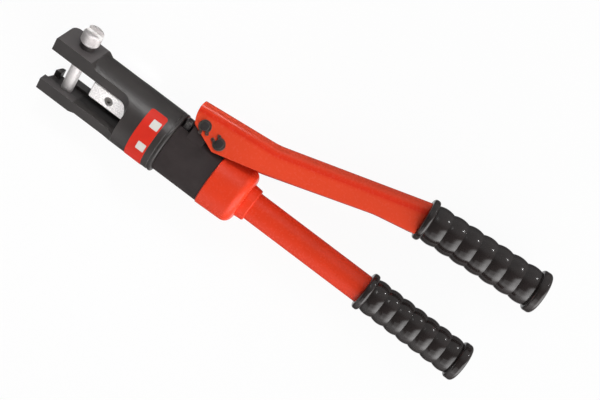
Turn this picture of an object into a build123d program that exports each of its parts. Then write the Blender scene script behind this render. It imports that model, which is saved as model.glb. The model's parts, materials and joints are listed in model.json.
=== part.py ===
from build123d import *
import os
from math import cos, pi, radians, sin, sqrt

# A hand pumped hydraulic swaging tool lying on its side, in millimetres.
# X runs along the ram towards the fork's tip, with the ram's face at zero when it is drawn back.
# The lever lies on the -Y side, and Z points up, along the lever's pins.
os.makedirs("parts", exist_ok=True)

# Fits
running_fit = 0.10  # radial, shafts that turn or slide
seat_fit = 0.05  # radial, pieces that stay where they are put
face_gap = 0.30  # between faces that pass each other

# Head yoke
head_diameter = 63.4
head_roll = 37.5  # degrees, turn of the fork against the lever's plane
fork_reach = 45.6  # ram face to fork tip
slot_depth = 88.8
slot_width = 35.2
slot_corner = 11.0
fork_width = 32.0  # across the side flats
flat_runout = 12.0
lower_pad_height = 29.5  # tool axis to the lower arm's outer face
lower_tip_setback = 1.8  # lower arm's tip behind the upper one
lower_tip_slant = 5.2  # how far the lower tip falls back at its far side
lower_tip_round = 3.0
pad_length = 38.7
pad_slope = 6.0
pad_round = 1.6
tip_corner = 7.0
groove_width = 15.0
groove_depth = 3.6
pocket_length = 15.6  # deeper end of the guide groove, at the tip
pocket_depth = 3.4
notch_width = 6.9  # opening through the far wall beside the latch pin
notch_depth = 5.0
post_length = 10.3  # far wall left standing between the notch and the tip
groove_margin = 4.0  # end of the guide groove before the slot's floor
head_wall = 6.8
skirt_length = 38.0
edge_break = 0.8
lip_round = 1.6
lip_width = 3.6
lip_groove_width = 1.6
lip_groove_depth = 0.4

# Label band
label_offset = 10.4  # head's rear end to the band
label_width = 18.2
label_thickness = 0.25
label_start = 32.0  # degrees from straight up towards the lever
label_wrap = 150.0  # degrees, away from the lever
label_corner = 3.0

# Latch pin
latch_station = 22.2  # ram face to the pin's axis
latch_diameter = 11.6
latch_seat_depth = 8.0
latch_end_gap = 0.5
recess_diameter = 18.0
boss_diameter = 15.2  # raised round the pin, under its knob
boss_height = 5.2
knob_diameter = 18.6
knob_height = 14.0
knob_bore_depth = 6.6
rivet_diameter = 6.0  # pin's end, through the knob
knob_slot_width = 9.2
knob_slot_depth = 4.0
knob_chamfer = 1.0

# Ram and cylinder
rod_diameter = 19.6
nose_width = 11.0  # across the nose flats
nose_length = 41.6
nose_chamfer = 0.8
die_socket_diameter = 6.0
die_socket_depth = 25.0
die_screw_station = 20.0  # ram face to the screw's axis
die_screw_diameter = 8.8
die_screw_key = 4.0
die_screw_key_depth = 1.4
die_screw_recess = 0.3
die_screw_break = 0.5  # how far the screw's hole breaks into the die socket
piston_diameter = 38.0
piston_length = 15.0
piston_gap = 0.5  # piston to the cylinder's floor
ring_depth = 3.0
seal_width = 5.0
wear_width = 4.0
ring_margin = 1.8  # land beside each piston ring
bush_wall = 2.5
wiper_diameter = 29.0
wiper_depth = 3.0
wiper_lip = 0.6
spring_wire = 2.6
spring_radius = 15.0
spring_turns = 4
spring_gap = 0.2
coil_samples = 6  # points on each quarter turn, where a coil's gap to itself is measured

# Cylinder body
spigot_diameter = 52.0
cylinder_depth = 41.5
barrel_diameter = 55.8
barrel_length = 49.0
tail_diameter = 46.0
tail_length = 14.7
cord_diameter = 2.4  # section of the round seals
head_seal_offset = 6.0
cup_seal_offset = 5.0
snap_width = 2.5
snap_depth = 2.0
snap_reach = 1.2
snap_offset = 9.0

# Lever pivot and pump
fulcrum_height = 31.6
pump_setback = 10.6  # barrel's rear end to the pump's axis
arm_length = 19.6  # fulcrum to plunger pin, along X
arm_drop = 5.4  # fulcrum to plunger pin, towards the tool's axis
pin_diameter = 8.2
pin_overhang = 2.8
ear_radius = 8.0
ear_slot = 18.0
ear_root = 12.0  # height where the ears start, inside the barrel
pump_flat_height = 19.0
gland_diameter = 20.0
gland_depth = 16.0
gland_cup_depth = 6.0
crosshead_diameter = 16.0
crosshead_top = 7.0
crosshead_bottom = 9.0
crosshead_play = 1.3  # eye, to each side along X
crosshead_lift = 0.5  # eye, above and below the pin
plunger_diameter = 10.0
plunger_length = 33.0
gland_seal_wall = 3.0
gland_seal_depth = 4.0
chamber_depth = 19.5
chamber_clearance = 0.2

# Circlips
clip_thickness = 1.2
clip_diameter = 12.2
clip_groove_depth = 0.7
clip_gap = 3.0
clip_lug_diameter = 3.4
clip_lug_hole = 1.3
clip_side_gap = 0.1
fulcrum_clip_turn = -113.0  # degrees from X towards the lever
plunger_clip_turn = 28.0

# Valves
valve_height = -13.0  # inlet and outlet valves, below the tool's axis
valve_bore_diameter = 9.0
valve_ball_diameter = 6.0
valve_plug_length = 5.0
valve_passage = 3.0
outlet_depth = 18.0
inlet_depth = 16.0
relief_depth = 26.0
relief_height = -8.0
relief_side = -14.0
relief_screw_length = 6.0
valve_wire = 0.8
valve_coil_radius = 2.5
outlet_turns = 3
inlet_turns = 2
relief_turns = 4

# Release valve
release_drop = 7.2  # fulcrum to the release knob's axis
release_side = 17.0
release_setback = 2.2  # barrel's shoulder to the knob's face
release_knob_diameter = 12.4
release_knob_length = 6.6
release_spindle_diameter = 4.0
release_spindle_length = 9.0
release_ball_diameter = 3.6
release_seal_diameter = 7.2
release_seal_length = 1.5
release_pocket_gap = 0.6

# Rear cup, handle tube and bladder
cup_step = 1.0  # radial, cup over barrel
cup_length = 36.7
cup_taper = 0.9  # radial, front to rear
cup_shoulder = 9.0
ring_diameter = 34.6
ring_taper = 0.7
ring_length = 8.9
tube_diameter = 28.2
tube_wall = 2.0
tube_seat = 13.0
tube_length = 259.6
plug_length = 8.0
plug_vent = 2.0
plenum_depth = 3.0  # oil space between the body's tail and the cup's partition
nipple_diameter = 10.0
nipple_bore = 4.0
nipple_length = 15.0
nipple_flange_diameter = 17.0
nipple_flange_length = 2.2
nipple_thread_diameter = 11.0
bladder_gap = 0.9  # radial, between bladder and tube
bladder_wall = 1.5
bladder_room = 24.0  # bladder's end to the tube's plug
bladder_neck_length = 13.0
bladder_neck_wall = 2.4
bladder_shoulder = 6.0
clamp_width = 5.0
clamp_wall = 1.5

# Grips
grip_length = 114.4
grip_diameter = 35.2
grip_flange_diameter = 38.6
grip_end_wall = 3.8
lever_grip_length = 129.6
lever_grip_diameter = 38.0
lever_flange_diameter = 42.3
flange_width = 7.2
flange_round = 2.9
lobe_count = 7
valley_depth = 1.5
end_width = 9.8
end_round = 3.4

# Lever, with places taken from the fulcrum
plate_tuck = 0.6  # lever's width below the barrel's diameter
lever_wall = 3.0
lever_edge_round = 8.0
nose_reach = 13.4
nose_bulge = 2.4
crown_height = 19.3
throat_reach = 8.8
throat_drop = 3.7
heel_reach = 18.1
heel_drop = 14.8
heel_round = 2.5
under_bend_reach = 65.0
under_bend_drop = 2.7
under_curve_reach = 170.0
under_curve_rise = 29.7
crown_bend_reach = 63.0
crown_bend_rise = 27.2
bend_round = 70.0
taper_reach = 45.0  # where the side plates start to close in
taper_round = 160.0
mouth_height = 33.0
mouth_drop = 0.85  # grip's axis to the middle of the mouth
mouth_width = 25.0
grip_reach = 207.5
grip_rise = 54.3
grip_angle = 4.0  # degrees, grip's lean away from the tool's axis
tang_length = 80.0
tang_height = 19.0
tang_width = 22.0
tang_round = 4.0

# Radii
head_radius = head_diameter / 2
spigot_radius = spigot_diameter / 2
barrel_radius = barrel_diameter / 2
tail_radius = tail_diameter / 2
cup_radius = barrel_radius + cup_step
bore_radius = piston_diameter / 2
rod_radius = rod_diameter / 2
bush_radius = rod_radius + running_fit + bush_wall
tube_radius = tube_diameter / 2
pin_radius = pin_diameter / 2
pin_groove_radius = pin_radius - clip_groove_depth
lever_half = (barrel_diameter - plate_tuck) / 2
ear_half = lever_half - lever_wall - face_gap

# Stations along X, from the fork's tip to the grip's end
x_tip = fork_reach
x_slot = x_tip - slot_depth
x_wall = x_slot - head_wall
x_lip = x_wall - skirt_length
x_spigot = x_wall - face_gap
x_shoulder = x_lip - face_gap
x_floor = x_spigot - cylinder_depth
x_piston = x_floor + piston_gap
x_piston_front = x_piston + piston_length
x_barrel = x_shoulder - barrel_length
x_tail = x_barrel - tail_length
x_cup = x_barrel - cup_length
x_ring = x_cup - ring_length
x_tube = x_cup + tube_seat
x_tube_end = x_tube - tube_length
x_grip_end = x_tube_end - grip_end_wall
x_pump = x_barrel + pump_setback
x_fulcrum = x_pump + arm_length
pump_height = fulcrum_height - arm_drop
release_height = fulcrum_height - release_drop

# Planes: side and plan of the fork, side of the lever with its second axis towards the lever
roll = radians(head_roll)
across_arms = Vector(0, -cos(roll), sin(roll))
across_flats = Vector(0, sin(roll), cos(roll))
fork_side = Plane(origin=(0, 0, 0), x_dir=(1, 0, 0), z_dir=-across_flats)
fork_plan = Plane(origin=(0, 0, 0), x_dir=(1, 0, 0), z_dir=across_arms)
lever_side = Plane(origin=(0, 0, 0), x_dir=(1, 0, 0), z_dir=(0, 0, -1))
arms_axis = Axis((0, 0, 0), across_arms)
flats_axis = Axis((0, 0, 0), across_flats)
past = head_diameter  # overrun of cuts that go right through


def station(x):
    return Plane.YZ.offset(x)


def axial(x, height, side):
    return Plane(origin=(x, -height, side), x_dir=(0, 1, 0), z_dir=(1, 0, 0))


def upright(x, height):
    return Plane(origin=(x, -height, 0), x_dir=(1, 0, 0), z_dir=(0, -1, 0))


def finish(piece, node):
    piece.part.label = node
    export_step(piece.part, f"parts/{node}.step")


def tube(node, x_start, x_end, inner, outer):
    """A plain sleeve round the tool's axis."""
    with BuildPart() as sleeve:
        with BuildSketch(station(x_start)):
            Circle(outer)
            Circle(inner, mode=Mode.SUBTRACT)
        extrude(amount=x_end - x_start)
    finish(sleeve, node)


def round_seal(node, x_middle, ring_radius):
    """A round section seal ring round the tool's axis."""
    with BuildPart() as seal:
        with BuildSketch(Plane.XY):
            with Locations((x_middle, ring_radius)):
                Circle(cord_diameter / 2)
        revolve(axis=Axis.X)
    finish(seal, node)


def coil(node, plane, radius, wire, length, turns):
    """One unbroken wire wound round the plane's normal, on pairs of tangent arcs for each quarter turn."""
    pitch = (length - wire) / turns
    quarter = pi / 2

    def spot(angle):
        rise = wire / 2 + pitch * angle / (2 * pi)
        return plane.from_local_coords(Vector(radius * cos(angle), radius * sin(angle), rise))

    def heading(angle):
        way = Vector(-radius * sin(angle), radius * cos(angle), pitch / (2 * pi)).normalized()
        return plane.from_local_coords(way) - plane.origin

    with BuildPart() as spring:
        with BuildLine() as path:
            for step in range(4 * turns):
                start, end = spot(step * quarter), spot((step + 1) * quarter)
                leave, arrive = heading(step * quarter), heading((step + 1) * quarter)
                chord, spread = end - start, 1 - leave.dot(arrive)
                along = chord.dot(leave + arrive)
                reach = (sqrt(along**2 + 2 * spread * chord.dot(chord)) - along) / (2 * spread)
                near, far = start + leave * reach, end - arrive * reach
                TangentArc(start, (near + far) / 2, tangent=leave)
                TangentArc((near + far) / 2, end, tangent=far - near)
        with BuildSketch(Plane(origin=spot(0), z_dir=heading(0))):
            Circle(wire / 2)
        sweep(path=path.wire())
    finish(spring, node)
    per_turn = 4 * coil_samples
    points = [path.wire().position_at(i / (turns * per_turn)) for i in range(turns * per_turn + 1)]
    gaps = [(a - b).length - wire for i, a in enumerate(points) for b in points[i + per_turn // 2:]]
    print(node, "least gap", round(min(gaps), 2))


# Head yoke: a turned cylinder that ends in a milled fork
x_pad = x_tip - pad_length
x_lower_tip = x_tip - lower_tip_setback
pad_edge = sqrt(head_radius**2 - (fork_width / 2) ** 2)
slot_half = slot_width / 2
groove_half = slot_half + groove_depth
pocket_half = groove_half + pocket_depth
notch_half = groove_half + notch_depth
latch_floor = slot_half + latch_seat_depth
x_snap = x_lip + snap_offset

with BuildPart() as head_yoke:
    with BuildSketch(station(x_lip)):
        Circle(head_radius)
    extrude(amount=x_pad - x_lip)
    fillet(head_yoke.edges().group_by(Axis.X)[0], lip_round)
    # The two pads at the fork's tip, with a slope down to the cylinder
    with BuildSketch(fork_side):
        with BuildLine():
            Polyline(
                (x_tip, head_radius),
                (x_pad, head_radius),
                (x_pad - pad_slope, pad_edge),
                (x_pad - pad_slope, -pad_edge),
                (x_pad, -lower_pad_height),
                (x_lower_tip, -lower_pad_height),
                (x_lower_tip, 0),
                (x_tip, 0),
                close=True,
            )
        make_face()
    extrude(amount=fork_width / 2, both=True)
    with BuildSketch(fork_plan):
        with BuildLine():
            Polyline(
                (x_tip, 0),
                (x_lower_tip, 0),
                (x_lower_tip - lower_tip_slant, -fork_width / 2),
                (x_tip, -fork_width / 2),
                close=True,
            )
        make_face()
    extrude(amount=-past, mode=Mode.SUBTRACT)
    # Boss under the latch knob
    with BuildSketch(fork_plan):
        with Locations((latch_station, 0)):
            Circle(boss_diameter / 2)
    extrude(amount=head_radius + boss_height)
    chamfer(head_yoke.faces().sort_by(arms_axis)[-1].edges(), edge_break)
    # Side flats with a round run-out
    with BuildSketch(fork_plan):
        with BuildLine():
            Polyline(
                (x_slot + flat_runout, fork_width / 2),
                (x_tip + past, fork_width / 2),
                (x_tip + past, past),
                (x_slot, past),
                (x_slot, fork_width / 2 + flat_runout),
            )
            RadiusArc(
                (x_slot + flat_runout, fork_width / 2),
                (x_slot, fork_width / 2 + flat_runout),
                flat_runout,
            )
        make_face()
        mirror(about=Plane.XZ)
    extrude(amount=past, both=True, mode=Mode.SUBTRACT)
    # The slot, with its rounded inner corner, and the guide groove along both arms with its pocket
    with BuildSketch(fork_side) as slot_outline:
        with Locations(((x_slot + x_tip + past) / 2, 0)):
            Rectangle(slot_depth + past, slot_width)
        inner_corners = slot_outline.vertices().sort_by(Axis.X)[:2]
        fillet(inner_corners.sort_by(Axis.Y)[-1], slot_corner)
    extrude(amount=past, both=True, mode=Mode.SUBTRACT)
    with BuildSketch(fork_side):
        with Locations(((x_slot + groove_margin + x_tip + past) / 2, 0)):
            Rectangle(slot_depth - groove_margin + past, 2 * groove_half)
        with Locations((x_tip, 0)):
            Rectangle(2 * pocket_length, 2 * pocket_half)
    extrude(amount=groove_width / 2, both=True, mode=Mode.SUBTRACT)
    with BuildSketch(fork_plan):
        with Locations((x_tip - post_length, -groove_width / 2)):
            Rectangle(notch_width, past, align=(Align.MAX, Align.MAX))
    extrude(amount=notch_half, both=True, mode=Mode.SUBTRACT)
    # Latch pin: a round recess inside each arm, a through hole above and a blind hole below
    with BuildSketch(fork_plan):
        with Locations((latch_station, 0)):
            Circle(recess_diameter / 2)
    extrude(amount=groove_half, both=True, mode=Mode.SUBTRACT)
    with BuildSketch(fork_plan.offset(-latch_floor)):
        with Locations((latch_station, 0)):
            Circle(latch_diameter / 2 + running_fit)
    extrude(amount=latch_floor + past, mode=Mode.SUBTRACT)
    # Far side of the tips, rounded off in plan and along the pads
    tip_edges = head_yoke.edges().filter_by(arms_axis).group_by(Axis.X)[-1]
    fillet(tip_edges.group_by(flats_axis)[0], tip_corner)
    x_bend = x_lower_tip - lower_tip_slant
    bend_edges = head_yoke.edges().filter_by(arms_axis)
    bend_edges = bend_edges.filter_by_position(Axis.X, x_bend - seat_fit, x_bend + seat_fit)
    fillet(bend_edges.group_by(flats_axis)[0], lower_tip_round)
    for pad in (0, -1):
        pad_edges = head_yoke.edges().filter_by(Axis.X).filter_by_position(Axis.X, x_pad, x_tip)
        fillet(pad_edges.group_by(flats_axis)[0].group_by(arms_axis)[pad], pad_round)
    # Skirt, bush and wiper bores
    with BuildSketch(station(x_lip)):
        Circle(spigot_radius + running_fit)
    extrude(amount=skirt_length, mode=Mode.SUBTRACT)
    with BuildSketch(station(x_wall)):
        Circle(bush_radius + seat_fit)
    extrude(amount=head_wall, mode=Mode.SUBTRACT)
    with BuildSketch(station(x_slot - wiper_depth)):
        Circle(wiper_diameter / 2 + seat_fit)
    extrude(amount=wiper_depth + slot_corner, mode=Mode.SUBTRACT)
    # Snap ring groove inside and lip groove outside
    with BuildSketch(Plane.XY):
        with Locations((x_snap, spigot_radius)):
            Rectangle(snap_width + 2 * face_gap, 2 * (snap_reach + face_gap))
        with Locations((x_lip + lip_width, head_radius)):
            Rectangle(lip_groove_width, 2 * lip_groove_depth)
    revolve(axis=Axis.X, mode=Mode.SUBTRACT)
finish(head_yoke, "head_yoke")

# Label band, wrapped part of the way round the head
label_lean = radians(label_start)
label_plane = Plane(origin=(0, 0, 0), x_dir=(1, 0, 0), z_dir=(0, -cos(label_lean), -sin(label_lean)))
with BuildPart() as label_band:
    with BuildSketch(label_plane):
        with Locations((x_lip + label_offset, head_radius + seat_fit)):
            Rectangle(label_width, label_thickness, align=(Align.MIN, Align.MIN))
    revolve(axis=Axis((0, 0, 0), (-1, 0, 0)), revolution_arc=label_wrap)
    fillet(label_band.edges().filter_by(GeomType.LINE).filter_by(Axis.X, reverse=True), label_corner)
finish(label_band, "label_band")

tube("rod_bush", x_wall, x_slot - wiper_depth, rod_radius + running_fit, bush_radius)
tube("wiper_ring", x_slot - wiper_depth, x_slot + wiper_lip, rod_radius + running_fit, wiper_diameter / 2)

# Latch pin and its knurled knob
knob_seat = head_radius + boss_height + running_fit
with BuildPart() as latch_pin:
    with BuildSketch(fork_plan.offset(latch_end_gap - latch_floor)):
        with Locations((latch_station, 0)):
            Circle(latch_diameter / 2)
    extrude(amount=latch_floor - latch_end_gap + knob_seat + knob_bore_depth)
    chamfer(latch_pin.edges().group_by(arms_axis)[0], edge_break)
    with BuildSketch(fork_plan.offset(knob_seat + knob_bore_depth)):
        with Locations((latch_station, 0)):
            Circle(rivet_diameter / 2)
    extrude(amount=knob_height - knob_slot_depth - knob_bore_depth)
finish(latch_pin, "latch_pin")

with BuildPart() as latch_knob:
    with BuildSketch(fork_plan.offset(knob_seat)):
        with Locations((latch_station, 0)):
            Circle(knob_diameter / 2)
    extrude(amount=knob_height)
    chamfer(latch_knob.edges(), knob_chamfer)
    with BuildSketch(fork_plan.offset(knob_seat)):
        with Locations((latch_station, 0)):
            Circle(latch_diameter / 2 + seat_fit)
    extrude(amount=knob_bore_depth, mode=Mode.SUBTRACT)
    with BuildSketch(fork_plan.offset(knob_seat)):
        with Locations((latch_station, 0)):
            Circle(rivet_diameter / 2 + seat_fit)
    extrude(amount=knob_height, mode=Mode.SUBTRACT)
    with BuildSketch(fork_plan.offset(knob_seat + knob_height)):
        with Locations((latch_station, 0)):
            Rectangle(2 * knob_diameter, knob_slot_width)
    extrude(amount=-knob_slot_depth, mode=Mode.SUBTRACT)
finish(latch_knob, "latch_knob")

# Ram: a flat sided nose, a round rod and a grooved piston in one piece
piston_radius = bore_radius - running_fit
ring_floor = piston_radius - ring_depth
x_seal = x_piston + ring_margin
x_wear = x_piston_front - ring_margin - wear_width
with BuildPart() as ram:
    with BuildSketch(Plane.XY):
        with BuildLine():
            Polyline(
                (x_piston, 0),
                (x_piston, piston_radius),
                (x_seal, piston_radius),
                (x_seal, ring_floor),
                (x_seal + seal_width, ring_floor),
                (x_seal + seal_width, piston_radius),
                (x_wear, piston_radius),
                (x_wear, ring_floor),
                (x_wear + wear_width, ring_floor),
                (x_wear + wear_width, piston_radius),
                (x_piston_front, piston_radius),
                (x_piston_front, rod_radius),
                (0, rod_radius),
                (0, 0),
                close=True,
            )
        make_face()
    revolve(axis=Axis.X)
    with BuildSketch(fork_plan):
        for side in (1, -1):
            with Locations((0, side * nose_width / 2)):
                Rectangle(2 * nose_length, past, align=(Align.CENTER, Align.MIN if side > 0 else Align.MAX))
    extrude(amount=past, both=True, mode=Mode.SUBTRACT)
    chamfer(ram.faces().sort_by(Axis.X)[-1].edges(), nose_chamfer)
    with BuildSketch(station(0)):
        Circle(die_socket_diameter / 2)
    extrude(amount=-die_socket_depth, mode=Mode.SUBTRACT)
    with BuildSketch(fork_side.offset(-nose_width / 2)):
        with Locations((-die_screw_station, 0)):
            Circle(die_screw_diameter / 2 + seat_fit)
    extrude(amount=(nose_width - die_socket_diameter) / 2 + die_screw_break, mode=Mode.SUBTRACT)
finish(ram, "ram")

with BuildPart() as die_screw:
    with BuildSketch(fork_side.offset(die_screw_recess - nose_width / 2)):
        with Locations((-die_screw_station, 0)):
            Circle(die_screw_diameter / 2)
    extrude(amount=(nose_width - die_socket_diameter) / 2 - die_screw_recess - running_fit)
    with BuildSketch(fork_side.offset(die_screw_recess - nose_width / 2)):
        with Locations((-die_screw_station, 0)):
            RegularPolygon(die_screw_key / 2, 6, major_radius=False)
    extrude(amount=die_screw_key_depth, mode=Mode.SUBTRACT)
finish(die_screw, "die_screw")

tube("piston_seal", x_seal + seat_fit, x_seal + seal_width - seat_fit, ring_floor + seat_fit, piston_radius)
tube("wear_ring", x_wear + seat_fit, x_wear + wear_width - seat_fit, ring_floor + seat_fit, piston_radius)
coil(
    "return_spring",
    station(x_piston_front + spring_gap),
    spring_radius,
    spring_wire,
    x_wall - x_piston_front - 2 * spring_gap,
    spring_turns,
)

# Cylinder body: spigot, barrel and tail, with the lever's ears and the pump and valve bores
x_head_seal = x_spigot - head_seal_offset
x_cup_seal = x_barrel - cup_seal_offset
x_ear_rear = x_fulcrum - ear_radius
gland_radius = gland_diameter / 2
gland_floor = pump_flat_height - gland_depth
seal_floor = gland_floor - gland_seal_depth
plunger_radius = plunger_diameter / 2
gland_seal_radius = plunger_radius + gland_seal_wall
valve_radius = valve_bore_diameter / 2
x_release = x_shoulder - release_setback
x_spindle = x_release - release_knob_length
release_radius = release_spindle_diameter / 2
release_reach = release_spindle_length + release_ball_diameter + 2 * seat_fit

with BuildPart() as cylinder_body:
    with BuildSketch(Plane.XY):
        with BuildLine():
            Polyline(
                (x_spigot, bore_radius),
                (x_spigot, spigot_radius),
                (x_shoulder, spigot_radius),
                (x_shoulder, barrel_radius),
                (x_barrel, barrel_radius),
                (x_barrel, tail_radius),
                (x_tail, tail_radius),
                (x_tail, 0),
                (x_floor, 0),
                (x_floor, bore_radius),
                close=True,
            )
        make_face()
        with Locations((x_snap, spigot_radius)):
            Rectangle(snap_width + 2 * seat_fit, 2 * snap_depth, mode=Mode.SUBTRACT)
        with Locations((x_head_seal, spigot_radius), (x_cup_seal, tail_radius)):
            Rectangle(cord_diameter + 2 * face_gap, 2 * (cord_diameter + seat_fit), mode=Mode.SUBTRACT)
    revolve(axis=Axis.X)
    # Two ears for the fulcrum pin
    with BuildSketch(lever_side):
        with Locations((x_fulcrum, fulcrum_height)):
            Circle(ear_radius)
        with Locations((x_fulcrum, ear_root)):
            Rectangle(2 * ear_radius, fulcrum_height - ear_root, align=(Align.CENTER, Align.MIN))
    extrude(amount=ear_half, both=True)
    with BuildSketch(lever_side):
        with Locations((x_fulcrum, barrel_radius - edge_break)):
            Rectangle(3 * ear_radius, past, align=(Align.CENTER, Align.MIN))
    extrude(amount=ear_slot / 2, both=True, mode=Mode.SUBTRACT)
    with BuildSketch(lever_side):
        with Locations((x_fulcrum, fulcrum_height)):
            Circle(pin_radius + running_fit)
    extrude(amount=past, both=True, mode=Mode.SUBTRACT)
    # Flat for the pump gland, and the stepped pump bore
    with BuildSketch(lever_side):
        with Locations((x_barrel, pump_flat_height)):
            Rectangle(x_ear_rear - x_barrel, past, align=(Align.MIN, Align.MIN))
    extrude(amount=past, both=True, mode=Mode.SUBTRACT)
    with BuildSketch(upright(x_pump, gland_floor)):
        Circle(gland_radius + seat_fit)
    extrude(amount=gland_depth, mode=Mode.SUBTRACT)
    with BuildSketch(upright(x_pump, seal_floor)):
        Circle(gland_seal_radius + seat_fit)
    extrude(amount=gland_seal_depth, mode=Mode.SUBTRACT)
    with BuildSketch(upright(x_pump, seal_floor - chamber_depth)):
        Circle(plunger_radius + chamber_clearance)
    extrude(amount=chamber_depth, mode=Mode.SUBTRACT)
    # Outlet, inlet and relief valve bores with their passages
    with BuildSketch(axial(x_floor - outlet_depth, valve_height, 0)):
        Circle(valve_radius + seat_fit)
    extrude(amount=outlet_depth, mode=Mode.SUBTRACT)
    with BuildSketch(axial(x_tail, valve_height, 0), axial(x_tail, relief_height, relief_side)):
        Circle(valve_passage / 2)
    extrude(amount=x_floor - x_tail, mode=Mode.SUBTRACT)
    with BuildSketch(axial(x_tail, valve_height, 0)):
        Circle(valve_radius + seat_fit)
    extrude(amount=inlet_depth, mode=Mode.SUBTRACT)
    with BuildSketch(axial(x_tail, relief_height, relief_side)):
        Circle(valve_radius + seat_fit)
    extrude(amount=relief_depth, mode=Mode.SUBTRACT)
    # Pocket and bore for the release knob
    with BuildSketch(axial(x_spindle - face_gap, release_height, release_side)):
        Circle(release_knob_diameter / 2 + release_pocket_gap)
    extrude(amount=x_shoulder - x_spindle + face_gap, mode=Mode.SUBTRACT)
    with BuildSketch(axial(x_spindle - release_reach, release_height, release_side)):
        Circle(release_radius + running_fit)
    extrude(amount=release_reach, mode=Mode.SUBTRACT)
    with BuildSketch(axial(x_spindle - face_gap - release_seal_length, release_height, release_side)):
        Circle(release_seal_diameter / 2 + seat_fit)
    extrude(amount=release_seal_length, mode=Mode.SUBTRACT)
finish(cylinder_body, "cylinder_body")

round_seal("head_seal", x_head_seal, spigot_radius - cord_diameter / 2)
round_seal("cup_seal", x_cup_seal, tail_radius - cord_diameter / 2)
tube(
    "head_snap_ring",
    x_snap - snap_width / 2,
    x_snap + snap_width / 2,
    spigot_radius - snap_depth + seat_fit,
    spigot_radius + snap_reach,
)

# Pump: gland, seal and plunger with a slotted eye for its pin
with BuildPart() as pump_gland:
    with BuildSketch(upright(x_pump, gland_floor)):
        Circle(gland_radius)
        Circle(plunger_radius + running_fit, mode=Mode.SUBTRACT)
    extrude(amount=gland_depth)
    with BuildSketch(upright(x_pump, pump_flat_height)):
        Circle(crosshead_diameter / 2 + face_gap)
    extrude(amount=-gland_cup_depth, mode=Mode.SUBTRACT)
finish(pump_gland, "pump_gland")

with BuildPart() as gland_seal:
    with BuildSketch(upright(x_pump, seal_floor)):
        Circle(gland_seal_radius)
        Circle(plunger_radius + running_fit, mode=Mode.SUBTRACT)
    extrude(amount=gland_seal_depth)
finish(gland_seal, "gland_seal")

with BuildPart() as pump_plunger:
    with BuildSketch(upright(x_pump, pump_height - crosshead_bottom)):
        Circle(crosshead_diameter / 2)
    extrude(amount=crosshead_bottom + crosshead_top)
    chamfer(pump_plunger.edges().group_by(Axis.Y)[0], edge_break)
    with BuildSketch(upright(x_pump, pump_height - crosshead_bottom)):
        Circle(plunger_radius)
    extrude(amount=-plunger_length)
    with BuildSketch(lever_side):
        with Locations((x_pump, pump_height)):
            SlotCenterToCenter(2 * crosshead_play, pin_diameter + 2 * crosshead_lift)
    extrude(amount=past, both=True, mode=Mode.SUBTRACT)
finish(pump_plunger, "pump_plunger")


# Valves: a plug or seat, a ball and a coil spring in each bore
def ball(node, plane, diameter):
    with BuildPart() as sphere:
        with Locations(plane):
            Sphere(diameter / 2)
    finish(sphere, node)


def valve_plug(node, plane, length):
    with BuildPart() as plug:
        with BuildSketch(plane):
            Circle(valve_radius)
            Circle(valve_passage / 2, mode=Mode.SUBTRACT)
        extrude(amount=length)
    finish(plug, node)


ball_radius = valve_ball_diameter / 2
x_outlet_seat = x_floor - outlet_depth
x_outlet_plug = x_floor - valve_plug_length
valve_plug("outlet_plug", axial(x_outlet_plug, valve_height, 0), valve_plug_length)
ball("outlet_ball", axial(x_outlet_seat + ball_radius + seat_fit, valve_height, 0), valve_ball_diameter)
x_outlet_coil = x_outlet_seat + valve_ball_diameter + spring_gap
coil(
    "outlet_spring",
    axial(x_outlet_coil, valve_height, 0),
    valve_coil_radius,
    valve_wire,
    x_outlet_plug - spring_gap - x_outlet_coil,
    outlet_turns,
)

x_inlet_seat = x_tail + valve_plug_length
valve_plug("inlet_seat", axial(x_tail, valve_height, 0), valve_plug_length)
ball("inlet_ball", axial(x_inlet_seat + ball_radius + seat_fit, valve_height, 0), valve_ball_diameter)
x_inlet_coil = x_inlet_seat + valve_ball_diameter + spring_gap
coil(
    "inlet_spring",
    axial(x_inlet_coil, valve_height, 0),
    valve_coil_radius,
    valve_wire,
    x_tail + inlet_depth - spring_gap - x_inlet_coil,
    inlet_turns,
)

x_relief_ball = x_tail + relief_depth - ball_radius - seat_fit
x_relief_coil = x_tail + relief_screw_length + spring_gap
valve_plug("relief_screw", axial(x_tail, relief_height, relief_side), relief_screw_length)
ball("relief_ball", axial(x_relief_ball, relief_height, relief_side), valve_ball_diameter)
coil(
    "relief_spring",
    axial(x_relief_coil, relief_height, relief_side),
    valve_coil_radius,
    valve_wire,
    x_relief_ball - ball_radius - spring_gap - x_relief_coil,
    relief_turns,
)

# Release valve: a knurled knob on a spindle that holds a ball on its seat
with BuildPart() as release_knob:
    with BuildSketch(axial(x_spindle, release_height, release_side)):
        Circle(release_knob_diameter / 2)
    extrude(amount=release_knob_length)
    chamfer(release_knob.edges(), edge_break)
    with BuildSketch(axial(x_spindle, release_height, release_side)):
        Circle(release_radius)
    extrude(amount=-release_spindle_length)
finish(release_knob, "release_knob")

x_release_ball = x_spindle - release_spindle_length - release_ball_diameter / 2 - seat_fit
ball("release_ball", axial(x_release_ball, release_height, release_side), release_ball_diameter)

with BuildPart() as release_seal:
    with BuildSketch(axial(x_spindle - face_gap - release_seal_length, release_height, release_side)):
        Circle(release_seal_diameter / 2)
        Circle(release_radius + running_fit, mode=Mode.SUBTRACT)
    extrude(amount=release_seal_length)
finish(release_seal, "release_seal")

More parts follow.
